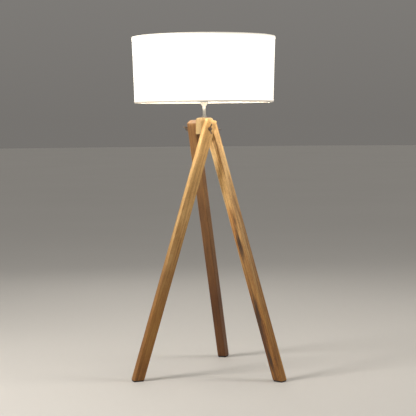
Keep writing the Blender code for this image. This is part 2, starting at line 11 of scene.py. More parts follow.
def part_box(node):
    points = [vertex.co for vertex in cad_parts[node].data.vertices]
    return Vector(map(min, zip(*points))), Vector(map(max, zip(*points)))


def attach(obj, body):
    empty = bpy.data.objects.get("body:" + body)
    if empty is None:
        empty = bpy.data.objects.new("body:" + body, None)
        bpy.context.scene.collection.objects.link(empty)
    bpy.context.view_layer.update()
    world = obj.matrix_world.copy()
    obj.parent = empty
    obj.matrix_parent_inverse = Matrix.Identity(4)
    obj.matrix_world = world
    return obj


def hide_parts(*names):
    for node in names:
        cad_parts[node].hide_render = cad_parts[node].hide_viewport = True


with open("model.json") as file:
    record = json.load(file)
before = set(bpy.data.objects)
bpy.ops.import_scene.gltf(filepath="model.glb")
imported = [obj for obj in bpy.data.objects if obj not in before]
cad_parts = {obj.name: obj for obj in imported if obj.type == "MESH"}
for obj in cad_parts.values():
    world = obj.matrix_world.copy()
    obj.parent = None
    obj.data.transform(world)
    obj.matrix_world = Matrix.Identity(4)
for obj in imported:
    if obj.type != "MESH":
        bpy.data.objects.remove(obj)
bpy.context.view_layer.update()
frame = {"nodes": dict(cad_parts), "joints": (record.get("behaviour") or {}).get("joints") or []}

# ---- places, from the frame
JOINTS = {joint["name"]: joint for joint in frame["joints"]}
GAP = 0.0003
AXIS = (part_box("tube")[0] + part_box("tube")[1]) / 2  # a point on the lamp's centre line
CENTRE = Vector((AXIS.x, AXIS.y, 0.0))
STUD_Z = JOINTS["leg_1_fold"]["pos_m"][2]
HUB_LOW, HUB_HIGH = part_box("hub_block")
HUB_FACE = CENTRE.y - HUB_LOW.y  # centre line to the flat under leg 1
WASHER_SEAT = CENTRE.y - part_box("leg_washer_1")[1].y
NUT_SEAT = CENTRE.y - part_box("wing_nut_1")[1].y
BOLT_END = CENTRE.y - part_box("hanger_bolt_1")[0].y
SOLE_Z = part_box("foot_glide_1")[1].z + GAP
SHADE_LOW, SHADE_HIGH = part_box("hem_bottom")[0].z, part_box("hem_top")[1].z
SHADE_TOP_RADIUS = (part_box("hem_top")[1].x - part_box("hem_top")[0].x) / 2

# ---- driving dimensions
LEG_WIDTH = 0.043
LEG_DEPTH = 0.038
LEGS_ABOVE_STUD = {1: 0.039, 2: 0.0325, 3: 0.0295}
LEG_CENTRE = HUB_FACE + GAP + LEG_DEPTH / 2
HUB_FACE_WIDTH = 0.052
HUB_ROUNDING = 0.012
SHADE_BOTTOM_RADIUS = 0.2915
CLOTH = 0.0005
HEM_DEPTH = 0.010
WIRE_RADIUS = 0.002
WIRE_INSET = 0.0053
BOLT_RADIUS = 0.004
BOLT_PITCH = 0.00125
BOLT_HOLE = 0.0043  # radius, in washers and wing nuts
STUD_HOLE_END = 0.0092  # from the centre line, in the block
ROD_HOLE = 0.0053  # radius, where the threaded rod passes
WING_SPAN = 0.044
WING_RISE = 0.0195
NUT_HEIGHT = 0.011
WING_TURNS = {1: 2.0, 2: 65.0, 3: 81.0}
GRUB_AZIMUTH = -130.0
CAP_PITCH = 0.003629
SEAM_AZIMUTH = 80.0
SEAM_LAP = 0.045  # radians
ARM_AZIMUTHS = (-30.0, 90.0, 210.0)

# ---- camera
CAMERA_AZIMUTH = -19.04
CAMERA_YAW = -1.720
CAMERA_DISTANCE = 4.990
CAMERA_SIDE = -0.1370
CAMERA_HEIGHT = 1.0816
CAMERA_PITCH = 4.349
CAMERA_ROLL = -0.5
CAMERA_LENS = 102.74

FULL_TURN = math.tau


def rotation(degrees, axis="Z"):
    """A turn about an axis through the origin."""
    return Matrix.Rotation(math.radians(degrees), 4, axis)


ON_ITS_SIDE = rotation(-90, "X")


# ---- materials
WOOD_TONE = 0.96  # middle of the summed grain
WOOD_SPREAD = 0.30
WOOD_RELIEF = 0.00022
# Painted shade: between these heights the legs darken towards the foot, for the light falling off
# towards the floor.
FOOT_SHADE_START = -0.28  # heights below the stud
FOOT_SHADE_END = -0.80
STREAK_COLOUR = (0.040, 0.018, 0.008)
STREAK_OUTSIDE = 1.55  # reach at which a streak has faded
STREAK_INSIDE = 1.05
STREAK_RAGGEDNESS = 1.6


class Graph:
    """One material's node tree, with a short way to add a node and link its inputs."""

    def __init__(self, name):
        self.material = bpy.data.materials.new(name)
        self.material.use_nodes = True
        self.tree = self.material.node_tree
        self.shader = self.tree.nodes["Principled BSDF"]

    def set(self, node, inputs):
        for key, value in inputs.items():
            socket = node.inputs[key]
            if isinstance(value, bpy.types.NodeSocket):
                self.tree.links.new(value, socket)
            else:
                socket.default_value = value
        return node

    def add(self, kind, inputs=None, **settings):
        node = self.tree.nodes.new("ShaderNode" + kind)
        for key, value in settings.items():
            setattr(node, key, value)
        return self.set(node, inputs or {})

    def principled(self, **inputs):
        self.set(self.shader, {key.replace("_", " "): value for key, value in inputs.items()})
        return self.material

    def coords(self, scale=(1.0, 1.0, 1.0), offset=(0.0, 0.0, 0.0), kind="Object"):
        source = self.add("TexCoord").outputs[kind]
        mapping = self.add("Mapping", {"Vector": source, "Location": offset, "Scale": scale})
        return mapping.outputs["Vector"]

    def noise(self, vector, scale, detail=2.0, roughness=0.5, distortion=0.0):
        made = self.add("TexNoise", {"Vector": vector, "Scale": scale, "Detail": detail,
                                     "Roughness": roughness, "Distortion": distortion})
        return made.outputs["Fac"]

    def math(self, operation, first, second=0.0, third=0.0, clamp=False):
        made = self.add("Math", {0: first, 1: second, 2: third}, operation=operation,
                        use_clamp=clamp)
        return made.outputs[0]

    def between(self, value, low, high, start=0.0, end=1.0):
        made = self.add("MapRange", {"Value": value, "From Min": low, "From Max": high,
                                     "To Min": start, "To Max": end})
        return made.outputs["Result"]

    def mix(self, share, first, second, blend="MIX"):
        made = self.add("Mix", data_type="RGBA", blend_type=blend, clamp_factor=True)
        return self.set(made, {0: share, 6: first, 7: second}).outputs[2]

    def ramp(self, value, stops):
        made = self.add("ValToRGB", {"Fac": value})
        elements = made.color_ramp.elements
        while len(elements) < len(stops):
            elements.new(0.5)
        for element, (place, colour) in zip(elements, stops):
            element.position = place
            element.color = (*colour, 1.0)
        return made.outputs["Color"]

    def bump(self, height, distance, strength=1.0):
        made = self.add("Bump", {"Height": height, "Distance": distance, "Strength": strength})
        return made.outputs["Normal"]


def solid(colour):
    """A colour with its alpha."""
    return (*colour, 1.0)


def wood(name, pale, mid, deep, seed, streaks=(), darker_patches=(), contrast=1.0, painted_foot_shade=None):
    """Oiled timber cut from a log whose pith lies beside the piece; its grain runs along Z."""
    graph = Graph(name)
    shift = (0.047 + seed * 0.011, 0.062 - seed * 0.007, seed * 1.7)
    rings_at = graph.coords((1.0, 1.0, 0.045), shift)
    rings = graph.add("TexWave", {"Vector": rings_at, "Scale": 30.0, "Distortion": 11.0,
                                  "Detail": 3.0, "Detail Scale": 1.4, "Detail Roughness": 0.6},
                      wave_type="RINGS", rings_direction="Z").outputs["Fac"]
    broad_at = graph.coords((1.0, 1.0, 0.12), (seed * 0.3, 0.0, seed * 0.9))
    broad = graph.noise(broad_at, 40.0, 4.0, 0.6, 0.8)
    patch = graph.noise(graph.coords((1.0, 1.0, 0.30), (seed, seed, seed)), 11.0, 3.0, 0.6)
    fibre = graph.noise(graph.coords((1.0, 1.0, 0.022), (seed, 0.0, 0.0)), 620.0, 3.0, 0.6)
    figure = graph.noise(graph.coords((1.0, 1.0, 0.50), (0.0, seed, 0.0)), 160.0, 2.0, 0.5, 1.5)
    pores = graph.noise(graph.coords((1.0, 1.0, 0.035), (0.0, seed, 0.0)), 1500.0, 1.0, 0.5)
    tone = graph.math("MULTIPLY", rings, 0.14)
    tone = graph.math("MULTIPLY_ADD", broad, 0.60, tone)
    tone = graph.math("MULTIPLY_ADD", patch, 0.75, tone)
    tone = graph.math("MULTIPLY_ADD", fibre, 0.16, tone)
    tone = graph.math("MULTIPLY_ADD", figure, 0.30, tone)
    spread = WOOD_SPREAD / contrast
    tone = graph.between(tone, WOOD_TONE - spread, WOOD_TONE + spread)
    colour = graph.ramp(tone, [(0.0, pale), (0.5, mid), (1.0, deep)])
    # Painted shade: the colour darkens towards the foot, for the lamp's light falling off towards
    # the floor.
    if painted_foot_shade:
        source = graph.add("TexCoord").outputs["Object"]
        upright = graph.add("SeparateXYZ", {"Vector": source}).outputs["Z"]
        foot_shade_share = graph.between(upright, FOOT_SHADE_START, FOOT_SHADE_END)
        colour = graph.mix(foot_shade_share, colour, solid(painted_foot_shade), "MULTIPLY")
    # Patches where the colour is multiplied darker.
    for place, size, tint, strength in darker_patches:
        inside = streak_mask(graph, place, size, strength, seed, 60.0)
        colour = graph.mix(inside, colour, solid(tint), "MULTIPLY")
    dashes = graph.between(pores, 0.60, 0.74)
    colour = graph.mix(graph.math("MULTIPLY", dashes, 0.35), colour,
                       solid([c * 0.45 for c in deep]))
    for place, size, strength in streaks:
        inside = streak_mask(graph, place, size, strength, seed, 240.0)
        colour = graph.mix(inside, colour, solid(STREAK_COLOUR))
    relief = graph.math("MULTIPLY_ADD", dashes, -1.2, fibre)
    return graph.principled(
        Base_Color=colour, Roughness=graph.between(fibre, 0.3, 0.7, 0.44, 0.60),
        Normal=graph.bump(relief, WOOD_RELIEF), Specular_IOR_Level=0.5)


def streak_mask(graph, place, size, strength, seed, ragged_scale):
    """How far a point is inside a ragged dark streak, an ellipsoid stretched along the grain."""
    source = graph.add("TexCoord").outputs["Object"]
    offset = graph.add("VectorMath", {0: source, 1: place}, operation="SUBTRACT").outputs[0]
    scaled = graph.add("VectorMath", {0: offset, 1: size}, operation="DIVIDE").outputs[0]
    reach = graph.add("VectorMath", {0: scaled}, operation="LENGTH").outputs["Value"]
    ragged = graph.noise(graph.coords((1.0, 1.0, 0.07), (seed, 2.0, 3.0)), ragged_scale, 3.0, 0.7)
    edge = graph.math("MULTIPLY_ADD", ragged, STREAK_RAGGEDNESS, reach)
    inside = graph.between(edge, STREAK_OUTSIDE, STREAK_INSIDE)
    return graph.math("MULTIPLY", inside, strength, clamp=True)


def metal(name, colour, roughness, wear=0.06, grain=700.0, tint=None):
    """Metal with faint polishing marks and uneven gloss."""
    graph = Graph(name)
    marks = graph.noise(graph.coords((1.0, 1.0, 1.0)), grain, 3.0, 0.6)
    cloud = graph.noise(graph.coords(), 60.0, 2.0)
    gloss = graph.math("MULTIPLY_ADD", cloud, wear, roughness - wear / 2)
    gloss = graph.math("MULTIPLY_ADD", marks, wear, gloss)
    inputs = {"Metallic": 1.0, "Roughness": gloss, "Normal": graph.bump(marks, 0.00002, 0.4)}
    shade = tint or [c * 0.82 for c in colour]
    inputs["Base Color"] = graph.mix(graph.between(cloud, 0.35, 0.7), solid(colour), solid(shade))
    graph.set(graph.shader, inputs)
    return graph.material


def plastic(name, colour, roughness, speckle=0.00003, grain=900.0):
    """Moulded plastic, rubber or glazed ceramic, by its roughness."""
    graph = Graph(name)
    skin = graph.noise(graph.coords(), grain, 2.0, 0.5)
    cloud = graph.noise(graph.coords(), 45.0, 2.0)
    share = graph.between(cloud, 0.3, 0.7)
    tone = graph.mix(share, solid(colour), solid([c * 0.88 for c in colour]))
    return graph.principled(
        Base_Color=tone, Normal=graph.bump(skin, speckle),
        Roughness=graph.between(cloud, 0.3, 0.7, roughness - 0.05, roughness + 0.05))


def weave(graph):
    """Height of a plain weave and the slubs of its yarns, from a UV map laid out in metres."""
    yarn = 0.00062
    source = graph.add("TexCoord").outputs["UV"]
    wander = graph.add("TexNoise", {"Vector": source, "Scale": 90.0, "Detail": 2.0})
    drift = graph.add("VectorMath", {0: wander.outputs["Color"], 1: (0.0004, 0.0004, 0.0)},
                      operation="MULTIPLY")
    place = graph.add("VectorMath", {0: source, 1: drift.outputs[0]}, operation="ADD").outputs[0]
    parts = graph.add("SeparateXYZ", {"Vector": place})
    across = graph.math("MULTIPLY", parts.outputs["X"], math.pi / yarn)
    along = graph.math("MULTIPLY", parts.outputs["Y"], math.pi / yarn)
    warp = graph.math("ABSOLUTE", graph.math("SINE", across))
    weft = graph.math("ABSOLUTE", graph.math("SINE", along))
    over = graph.math("MULTIPLY", graph.math("SINE", across), graph.math("SINE", along))
    height = graph.math("MULTIPLY_ADD", over, 0.35, graph.math("MULTIPLY", warp, weft))
    slub_warp = graph.noise(graph.coords((900.0, 14.0, 1.0), kind="UV"), 1.0, 2.0)
    slub_weft = graph.noise(graph.coords((11.0, 1100.0, 1.0), (3.0, 7.0, 0.0), "UV"), 1.0, 2.0)
    slub = graph.math("MULTIPLY", graph.math("ADD", slub_warp, slub_weft), 0.5)
    return height, slub


def lit_cloth(name, colour, glow, glow_strength, edge_dark):
    """Off-white woven shade cloth that glows from the bulb behind it.

    edge_dark is (start, end, least): towards the edge the light falls to its least share,
    between these two distances from it.
    """
    graph = Graph(name)
    height, slub = weave(graph)
    thin = graph.between(slub, 0.35, 0.65)
    dark = solid([c * 0.86 for c in colour])
    tone = graph.mix(thin, dark, solid(colour))
    # Painted shade in the hollows of the weave.
    hollow_shade = graph.between(height, 0.0, 1.2, 0.25, 0.0)
    tone = graph.mix(hollow_shade, tone, solid([c * 0.6 for c in colour]))
    light = graph.math("MULTIPLY", graph.between(slub, 0.3, 0.7, 0.94, 1.04), glow_strength)
    upright = graph.add("SeparateXYZ", {"Vector": graph.add("TexCoord").outputs["UV"]}).outputs["Y"]
    start, end, least = edge_dark
    light = graph.math("MULTIPLY", light, graph.between(upright, start, end, least, 1.0))
    return graph.principled(
        Base_Color=tone, Roughness=0.85, Normal=graph.bump(height, 0.00012, 0.5),
        Emission_Color=solid(glow), Emission_Strength=light,
        Sheen_Weight=0.15, Specular_IOR_Level=0.2)


def liner_film(name):
    """Translucent film on the inside of the shade; its emission is a painted glow for the bulb's
    light on it.
    """
    graph = Graph(name)
    cloud = graph.noise(graph.coords(), 30.0, 3.0)
    share = graph.between(cloud, 0.3, 0.7)
    tone = graph.mix(share, solid((0.90, 0.87, 0.80)), solid((0.93, 0.91, 0.86)))
    return graph.principled(
        Base_Color=tone, Roughness=graph.between(cloud, 0.3, 0.7, 0.42, 0.55),
        Emission_Color=solid((1.0, 0.92, 0.79)), Emission_Strength=0.6)


def frosted(name):
    """Opal glass bulb, lit."""
    graph = Graph(name)
    cloud = graph.noise(graph.coords(), 80.0, 2.0)
    made = graph.principled(
        Base_Color=graph.mix(cloud, solid((0.95, 0.93, 0.88)), solid((0.90, 0.88, 0.83))),
        Roughness=graph.between(cloud, 0.3, 0.7, 0.22, 0.32),
        Emission_Color=solid((1.0, 0.86, 0.66)), Emission_Strength=9.0)
    made.cycles.emission_sampling = "NONE"
    return made


def glass(name):
    """Clear glass."""
    graph = Graph(name)
    cloud = graph.noise(graph.coords(), 200.0, 2.0)
    return graph.principled(
        Base_Color=solid((0.94, 0.97, 0.97)), Roughness=graph.between(cloud, 0.3, 0.7, 0.02, 0.06),
        Transmission_Weight=1.0, IOR=1.5)


# ---- outlines
def arc(centre, radius, start, end, steps):
    """Points of a circular arc, angles in degrees."""
    points = []
    for step in range(steps + 1):
        angle = math.radians(start + (end - start) * step / steps)
        points.append((centre[0] + radius * math.cos(angle), centre[1] + radius * math.sin(angle)))
    return points


def fillet(outline, radius, steps=4):
    """A closed outline with every corner rounded, except on the axis of revolution."""
    rounded = []
    count = len(outline)
    for index, point in enumerate(outline):
        corner = Vector(point)
        before = Vector(outline[index - 1])
        after = Vector(outline[(index + 1) % count])
        if corner.x == 0.0:
            rounded.append(tuple(corner))
            continue
        cut = min(radius, (before - corner).length * 0.45, (after - corner).length * 0.45)
        start = corner + (before - corner).normalized() * cut
        end = corner + (after - corner).normalized() * cut
        for step in range(steps + 1):
            t = step / steps
            rounded.append(tuple((1 - t) ** 2 * start + 2 * t * (1 - t) * corner + t * t * end))
    return rounded


def rounded_rectangle(width, depth, radius, steps):
    """Outline of a rectangle about the origin with round corners."""
    outline = []
    for sign_x, sign_y, start in ((1, 1, 0), (-1, 1, 90), (-1, -1, 180), (1, -1, 270)):
        centre = (sign_x * (width / 2 - radius), sign_y * (depth / 2 - radius))
        outline += arc(centre, radius, start, start + 90, steps)
    return outline


def subdivided(start, end, spacing):
    """Points along a straight stretch of an outline, no further apart than spacing."""
    count = max(1, math.ceil((Vector(end) - Vector(start)).length / spacing))
    return [tuple(Vector(start).lerp(Vector(end), step / count)) for step in range(count + 1)]


# ---- meshes
def mesh_from(bm):
    """A mesh from a bmesh, with its faces turned outwards."""
    bmesh.ops.recalc_face_normals(bm, faces=bm.faces)
    mesh = bpy.data.meshes.new("shape")
    bm.to_mesh(mesh)
    bm.free()
    return mesh


def turned(outline, segments=64, shape=None):
    """Revolve a closed outline about Z. shape(angle, radius, z) may change a point."""
    bm = bmesh.new()
    rings = []
    for radius, z in outline:
        if radius == 0.0:
            rings.append([bm.verts.new((0.0, 0.0, z))])
            continue
        ring = []
        for step in range(segments):
            angle = FULL_TURN * step / segments
            r, height = shape(angle, radius, z) if shape else (radius, z)
            ring.append(bm.verts.new((r * math.cos(angle), r * math.sin(angle), height)))
        rings.append(ring)
    for ring, following in zip(rings, rings[1:] + rings[:1]):
        for step in range(segments):
            ahead = (step + 1) % segments
            corners = [ring[step % len(ring)], ring[ahead % len(ring)]]
            corners += [following[ahead % len(following)], following[step % len(following)]]
            distinct = list(dict.fromkeys(corners))
            if len(distinct) >= 3:
                bm.faces.new(distinct)
    return mesh_from(bm)


def prism(outline, bottom, top):
    """Extrude a closed outline of (x, y) points from z = bottom to z = top."""
    bm = bmesh.new()
    lower = [bm.verts.new((x, y, bottom)) for x, y in outline]
    upper = [bm.verts.new((x, y, top)) for x, y in outline]
    bm.faces.new(lower)
    bm.faces.new(upper)
    for index in range(len(outline)):
        ahead = (index + 1) % len(outline)
        bm.faces.new((lower[index], lower[ahead], upper[ahead], upper[index]))
    return mesh_from(bm)


def skinned(bm, rings):
    """A closed skin over equal rings of vertices, with a cap at each end."""
    for ring, following in zip(rings, rings[1:]):
        for index in range(len(ring)):
            ahead = (index + 1) % len(ring)
            bm.faces.new((ring[index], ring[ahead], following[ahead], following[index]))
    bm.faces.new(rings[0])
    bm.faces.new(rings[-1])
    return mesh_from(bm)


def moved(mesh, matrix):
    """A mesh put in another place."""
    mesh.transform(matrix)
    return mesh


def cylinder(radius, bottom, top, segments=48):
    return turned([(0.0, bottom), (radius, bottom), (radius, top), (0.0, top)], segments)


def placed(name, data):
    """A new object in the scene."""
    made = bpy.data.objects.new(name, data)
    bpy.context.scene.collection.objects.link(made)
    return made


def band(inner, outer, low, high, rounding, segments=64, steps=4):
    """A round band of square section, its corners rounded."""
    corners = [(inner, low), (outer, low), (outer, high), (inner, high)]
    return turned(fillet(corners, rounding, steps), segments)


def bore_cutter(radius, mouth, chamfer, low, high):
    """What a nut loses to its bore, which is wider at both mouths."""
    past = 0.001
    return turned([(0.0, low - past), (mouth, low - past), (radius, low + chamfer),
                   (radius, high - chamfer), (mouth, high + past), (0.0, high + past)], 48)


def evaluated(mesh, modifiers):
    """A mesh after modifiers, each given as (type, settings)."""
    base = placed("base", mesh)
    helpers = []
    for kind, settings in modifiers:
        modifier = base.modifiers.new(kind, kind)
        for key, value in settings.items():
            if key == "object":
                value = placed("helper", value)
                helpers.append(value)
            setattr(modifier, key, value)
    graph = bpy.context.evaluated_depsgraph_get()
    result = bpy.data.meshes.new_from_object(base.evaluated_get(graph))
    for helper in helpers + [base]:
        bpy.data.objects.remove(helper)
    return result


def combined(mesh, others, operation):
    """A mesh joined with others, their common part, or what they leave when cut away."""
    return evaluated(mesh, [("BOOLEAN", {"object": other, "operation": operation})
                            for other in others])


def softened(mesh, width, segments=3, angle=30.0):
    """A mesh with its edges rounded."""
    settings = {"width": width, "segments": segments, "limit_method": "ANGLE",
                "angle_limit": math.radians(angle)}
    return evaluated(mesh, [("BEVEL", settings)])


def thread_form(pitch, depth, start, end, sharp=True):
    """A right-handed screw thread between two heights, as a shape for turned()."""
    def shape(angle, radius, z):
        if not start <= z <= end:
            return radius, z
        phase = (z / pitch - angle / FULL_TURN) % 1.0
        valley = 1 - abs(2 * phase - 1) if sharp else (1 - math.cos(FULL_TURN * phase)) / 2
        fade = min(1.0, (z - start) / pitch, (end - z) / pitch)
        return radius - depth * valley * fade, z
    return shape


def piece(name, mesh, material, body, replaced=(), matrix=None, smooth=35.0):
    """One shown piece: in place, riding on its body, standing for its CAD nodes."""
    made = placed(name, mesh)
    made.matrix_world = matrix or Matrix.Translation(CENTRE)
    mesh.materials.clear()
    mesh.materials.append(material)
    mesh.shade_smooth()
    mesh.set_sharp_from_angle(angle=math.radians(smooth))
    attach(made, body)
    if replaced:
        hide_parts(*replaced)
    return made


def extent(node):
    """(radius, lowest z, highest z) of an upright round node."""
    low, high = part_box(node)
    return (high.x - low.x) / 2, low.z, high.z


# ---- the three sides
class Side:
    """Frames of one side: X towards the foot, Y out along the stud, Z up."""

    def __init__(self, number):
        self.number = number
        joint = JOINTS[f"leg_{number}_fold"]
        outward = Vector(joint["axis"])
        towards = Vector((outward.y, -outward.x, 0.0))
        turn = Matrix((towards, outward, Vector((0.0, 0.0, 1.0)))).transposed().to_4x4()
        self.upright = Matrix.Translation(CENTRE) @ turn
        self.stud = self.upright @ Matrix.Translation((0, 0, STUD_Z)) @ ON_ITS_SIDE
        reach = self.upright.inverted() @ ((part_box(f"foot_glide_{number}")[0]
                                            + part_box(f"foot_glide_{number}")[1]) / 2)
        self.lean = math.atan2(reach.x, STUD_Z - SOLE_Z)
        self.foot = self.upright @ Matrix.Translation((reach.x, LEG_CENTRE, 0))
        self.leg = self.upright @ Matrix.Translation((0, LEG_CENTRE, STUD_Z)) @ Matrix.Rotation(
            -self.lean, 4, "Y")


def leg_mesh(side):
    """Leg in its own frame, its arrises rubbed round and its faces a little uneven."""
    rows = 72
    half_x, half_y = LEG_WIDTH / 2, LEG_DEPTH / 2
    corner = rounded_rectangle(LEG_WIDTH, LEG_DEPTH, 0.0022, 4)
    outline = []
    for index, point in enumerate(corner):
        ahead = corner[(index + 1) % len(corner)]
        outline.append(point)
        if (Vector(point) - Vector(ahead)).length > 0.01:
            outline += [tuple(Vector(point).lerp(Vector(ahead), share)) for share in (0.33, 0.67)]
    bm = bmesh.new()
    rings = []
    ease = 0.0012
    above = LEGS_ABOVE_STUD[side.number]
    shares = [0.0, 0.0004, 0.0011] + [0.0011 + 0.9978 * k / rows for k in range(1, rows)]
    shares += [0.9989, 0.9996, 1.0]
    for share in shares:
        inset = max(0.0, ease - min(share, 1 - share) * 1.1)
        ring = []
        for x, y in outline:
            foot = (SOLE_Z - STUD_Z - x * math.sin(side.lean)) / math.cos(side.lean)
            z = foot + share * (above - foot)
            outward = Vector((x / half_x, y / half_y)).normalized()
            wave = noise.noise(Vector((x * 20, y * 20, z * 4 + side.number * 7)))
            dip = 0.00022 * (1 + wave) + inset
            ring.append(bm.verts.new((x - outward.x * dip, y - outward.y * dip, z)))
        rings.append(ring)
    leg = skinned(bm, rings)
    drill = moved(cylinder(BOLT_RADIUS + 0.0005, -LEG_DEPTH, LEG_DEPTH, 32), ON_ITS_SIDE)
    return combined(leg, [drill], "DIFFERENCE")


def hub_mesh():
    """Six-sided block with a generously rounded rim on top, bored for column and studs."""
    outline = []
    for number in (1, 3, 2):
        outward = Vector(JOINTS[f"leg_{number}_fold"]["axis"])
        sideways = Vector((-outward.y, outward.x, 0.0))
        for sign in (-1, 1):
            corner = outward * HUB_FACE + sideways * sign * HUB_FACE_WIDTH / 2
            outline.append((corner.x, corner.y))
    bm = bmesh.new()
    bm.from_mesh(prism(outline, HUB_LOW.z, HUB_HIGH.z))
    rim = [edge for edge in bm.edges if all(v.co.z > HUB_HIGH.z - GAP for v in edge.verts)]
    bmesh.ops.bevel(bm, geom=rim, offset=HUB_ROUNDING, segments=8, profile=0.5, affect="EDGES")
    block = softened(mesh_from(bm), 0.0012, 3, 25.0)
    past = 0.01
    cutters = [cylinder(ROD_HOLE, HUB_LOW.z - past, HUB_HIGH.z + past)]
    for number in (1, 2, 3):
        drill = cylinder(BOLT_RADIUS + GAP, STUD_HOLE_END, HUB_FACE + past)
        place = Matrix.Translation(-CENTRE) @ Side(number).stud
        cutters.append(moved(drill, place))
    return combined(block, cutters, "DIFFERENCE")


def wing_nut_mesh():
    """Cast wing nut: boss and wings run into each other in soft fillets."""
    boss = turned(fillet([(0.0, 0.0), (0.0076, 0.0), (0.0076, 0.0022), (0.0060, NUT_HEIGHT),
                          (0.0, NUT_HEIGHT)], 0.0006), 64)
    tip_radius = 0.0048
    tip = (WING_SPAN / 2 - tip_radius, WING_RISE - tip_radius)
    wing = [(0.0060, 0.0015), (0.0095, 0.0026), (0.0128, 0.0050)]
    wing += arc(tip, tip_radius, -55, 150, 14)
    wing += [(0.0112, 0.0108), (0.0088, 0.0094), (0.0050, 0.0086)]
    plate = moved(prism(wing + [(-x, z) for x, z in reversed(wing)], -0.0018, 0.0018),
                  rotation(90, "X"))
    whole = combined(boss, [plate], "UNION")
    cast = evaluated(whole, [
        ("REMESH", {"mode": "VOXEL", "voxel_size": 0.00042}),
        ("SMOOTH", {"factor": 0.5, "iterations": 7})])
    bore = bore_cutter(BOLT_HOLE, 0.0050, 0.0006, 0.0, NUT_HEIGHT)
    return combined(cast, [bore], "DIFFERENCE")


def stud_mesh():
    """Hanger bolt: plain in the middle, machine thread towards its outer end."""
    inner = CENTRE.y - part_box("hanger_bolt_1")[1].y
    start = WASHER_SEAT - 0.004
    outline = [(0.0, inner), (0.0030, inner), (BOLT_RADIUS, inner + 0.001)]
    outline += subdivided((BOLT_RADIUS, start), (BOLT_RADIUS, BOLT_END - 0.0008), BOLT_PITCH / 7)
    outline += [(0.0034, BOLT_END - 0.0002), (0.0031, BOLT_END), (0.0, BOLT_END)]
    return turned(outline, 40, thread_form(BOLT_PITCH, 0.00065, start, BOLT_END - 0.0006))


def glide_mesh(side):
    """Rubber pad with round corners and a countersunk hole."""
    width = LEG_WIDTH / math.cos(side.lean) - 0.003
    depth = LEG_DEPTH - 0.003
    outline = rounded_rectangle(width, depth, 0.004, 6)
    slab = softened(prism(outline, 0.0, SOLE_Z - GAP), 0.0007)
    hole = turned([(0.0, -0.002), (0.0045, -0.002), (0.0044, 0.0016), (0.00215, 0.0040),
                   (0.00215, 0.01), (0.0, 0.01)], 40)
    return combined(slab, [hole], "DIFFERENCE")


def glide_screw_mesh():
    """Countersunk screw with a cross recess in its head, which faces the floor."""
    head = 0.0012
    outline = [(0.0, head), (0.004, head), (0.004, head + 0.0002), (0.0018, 0.0036)]
    outline += subdivided((0.00175, 0.0045), (0.00175, 0.018), 0.00022)
    outline += [(0.0, 0.021)]
    screw = turned(outline, 32, thread_form(0.0018, 0.0005, 0.0045, 0.018))
    blades = []
    for turn in (0, 90):
        slot = prism([(-0.0022, -0.0004), (0.0022, -0.0004), (0.0022, 0.0004), (-0.0022, 0.0004)],
                     head - 0.001, head + 0.0011)
        blades.append(moved(slot, rotation(turn)))
    return combined(screw, blades, "DIFFERENCE")


def build_sides(finish):
    """Legs, pads and their screws, studs, washers and wing nuts."""
    nut = wing_nut_mesh()
    stud = stud_mesh()
    screw = glide_screw_mesh()
    washer_radius = (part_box("leg_washer_1")[1].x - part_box("leg_washer_1")[0].x) / 2
    washer_top = NUT_SEAT - GAP
    washer = band(BOLT_HOLE, washer_radius, WASHER_SEAT, washer_top, 0.0003)
    for number in (1, 2, 3):
        side = Side(number)
        piece(f"timber_leg_{number}", leg_mesh(side), finish[f"leg_{number}"], f"leg_{number}",
              [f"leg_{number}"], side.leg, 40.0)
        piece(f"rubber_pad_{number}", glide_mesh(side), finish["rubber"], f"leg_{number}",
              [f"foot_glide_{number}"], side.foot)
        piece(f"pad_screw_{number}", screw.copy(), finish["zinc"], f"leg_{number}",
              [f"glide_screw_{number}"], side.foot)
        piece(f"stud_{number}", stud.copy(), finish["bronze"], "stand",
              [f"hanger_bolt_{number}"], side.stud)
        piece(f"washer_{number}", washer.copy(), finish["bronze"], f"washer_{number}",
              [f"leg_washer_{number}"], side.stud)
        turn = rotation(90 - WING_TURNS[number])
        place = side.stud @ Matrix.Translation((0, 0, NUT_SEAT)) @ turn
        piece(f"wing_nut_cast_{number}", nut.copy(), finish["bronze"], f"wing_nut_{number}",
              [f"wing_nut_{number}"], place, 50.0)
    piece("hub", hub_mesh(), finish["hub"], "stand", ["hub_block"], smooth=40.0)


# ---- column
def hexagon_nut(node, across_flats):
    """Hexagon nut, its corners turned off to a cone on both faces."""
    _, low, high = extent(node)
    corner = across_flats / math.sqrt(3)
    block = prism(arc((0, 0), corner, 0, 300, 5), low, high)
    flat = across_flats / 2
    drop = (corner - flat) * 0.55
    cone = turned([(0.0, low), (flat, low), (corner + 0.001, low + drop + 0.0003),
                   (corner + 0.001, high - drop - 0.0003), (flat, high), (0.0, high)], 72)
    nut = combined(block, [cone], "INTERSECT")
    bore = bore_cutter(ROD_HOLE, 0.0062, 0.0005, low, high)
    return combined(nut, [bore], "DIFFERENCE")


def nipple_mesh():
    """Hollow rod, threaded at its lower end."""
    radius, low, high = extent("nipple")
    bore = 0.0037
    threaded = 0.014
    outline = [(bore, low), (radius - 0.0005, low)]
    outline += subdivided((radius, low + 0.0006), (radius, low + threaded), 0.00016)
    outline += [(radius, high), (bore, high)]
    return turned(outline, 40, thread_form(0.001, 0.0005, low, low + threaded))


